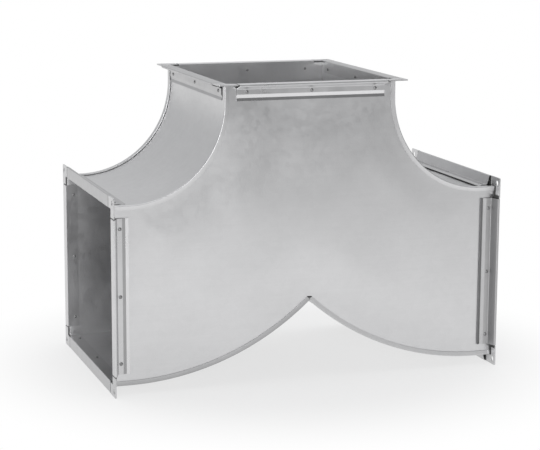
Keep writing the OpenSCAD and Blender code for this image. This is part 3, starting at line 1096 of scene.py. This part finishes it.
def rivet_profile():
    """Half section of a rivet, from the closed end to the mandrel hole: radius, then height."""
    points = [(0, rivet_foot - BULB_LENGTH), (0.7 * BULB_RADIUS, rivet_foot - BULB_LENGTH)]
    points += [(BULB_RADIUS, rivet_foot - 0.7 * BULB_LENGTH), (BULB_RADIUS, rivet_foot)]
    points += [(SHANK_RADIUS, rivet_foot), (SHANK_RADIUS, rivet_seat)]
    points += [(HEAD_RADIUS, rivet_seat), (HEAD_RADIUS, rivet_seat + HEAD_RIM)]
    for step in range(1, 9):
        share = step / 8
        radius = HEAD_RADIUS + (MANDREL_RADIUS - HEAD_RADIUS) * share
        rise = HEAD_RIM + (HEAD_RISE - HEAD_RIM) * math.sin(share * math.pi / 2)
        points.append((radius, rivet_seat + rise))
    floor = rivet_seat + HEAD_RISE - 2 * HEAD_RIM
    points += [(0.85 * MANDREL_RADIUS, floor), (0, floor + HEAD_RIM / 2)]
    return points


def lathed_rivet():
    lathe = bmesh.new()
    line = [lathe.verts.new((radius, 0, height)) for radius, height in rivet_profile()]
    edges = [lathe.edges.new(pair) for pair in zip(line, line[1:])]
    bmesh.ops.spin(
        lathe, geom=line + edges, cent=(0, 0, 0), axis=(0, 0, 1), angle=math.tau, steps=LATHE_STEPS,
        use_merge=True,
    )
    bmesh.ops.remove_doubles(lathe, verts=lathe.verts, dist=0.01 * MM)
    bmesh.ops.recalc_face_normals(lathe, faces=lathe.faces)
    mesh = bpy.data.meshes.new("rivet")
    lathe.to_mesh(mesh)
    lathe.free()
    return mesh


rivet_rows = Tree(
    "rivet rows",
    Opening_width=float,
    Opening_depth=float,
    Rail_cut=float,
    First_rivet=float,
    Row_depth=float,
    Rivets_per_rail=int,
    Finish="NodeSocketMaterial",
)
rows = rivet_rows.node("GeometryNodeJoinGeometry")
for quarter in range(4):
    spans = ("Opening_width", "Opening_depth")
    own, other = spans if quarter % 2 == 0 else spans[::-1]
    half = rivet_rows.math("MULTIPLY", rivet_rows.value(own), 0.5)
    rail_end = rivet_rows.math("SUBTRACT", half, rivet_rows.value("Rail_cut"))
    reach = rivet_rows.math("SUBTRACT", rail_end, rivet_rows.value("First_rivet"))
    offset = rivet_rows.math("MULTIPLY", rivet_rows.value(other), 0.5)
    ends = []
    for value in (rivet_rows.math("MULTIPLY", reach, -1.0), reach):
        joined = rivet_rows.node("ShaderNodeCombineXYZ")
        rivet_rows.feed(joined.inputs["X"], value)
        rivet_rows.feed(joined.inputs["Y"], offset)
        rivet_rows.feed(joined.inputs["Z"], rivet_rows.math("MULTIPLY", rivet_rows.value("Row_depth"), -1.0))
        ends.append(joined.outputs[0])
    row = rivet_rows.node("GeometryNodeMeshLine", mode="END_POINTS")
    rivet_rows.feed(row.inputs["Count"], rivet_rows.value("Rivets_per_rail"))
    rivet_rows.feed(row.inputs["Start Location"], ends[0])
    rivet_rows.feed(row.inputs["Offset"], ends[1])
    placed = rivet_rows.node("GeometryNodeInstanceOnPoints")
    rivet_rows.feed(placed.inputs["Points"], row.outputs["Mesh"])
    rivet_rows.feed(placed.inputs["Instance"], rivet_rows.entry.outputs["Geometry"])
    placed.inputs["Rotation"].default_value = (-math.pi / 2, 0, 0)
    turn = rivet_rows.node("GeometryNodeTransform")
    rivet_rows.feed(turn.inputs["Geometry"], placed.outputs["Instances"])
    turn.inputs["Rotation"].default_value = (0, 0, quarter * math.pi / 2)
    rivet_rows.feed(rows.inputs["Geometry"], turn.outputs["Geometry"])
rivet_rows.close(rows.outputs["Geometry"])

rivet_finish = galvanised("zinc plated rivet", 0.30, 0.32, "Z", 0.2)
for side, (width, depth, place, _) in FLANGES.items():
    rivets = rivet_rows.build(
        side + "_rivet_set",
        lathed_rivet(),
        Opening_width=width,
        Opening_depth=depth,
        Rail_cut=RAIL_CUT,
        First_rivet=RIVET_INSET,
        Row_depth=RIVET_ROW,
        Rivets_per_rail=RIVETS_PER_RAIL,
        Finish=rivet_finish,
    )
    rivets.data.transform(place)
    face_outwards(rivets)
    finish_piece(rivets, "rivet_steel", side + "_rivets")
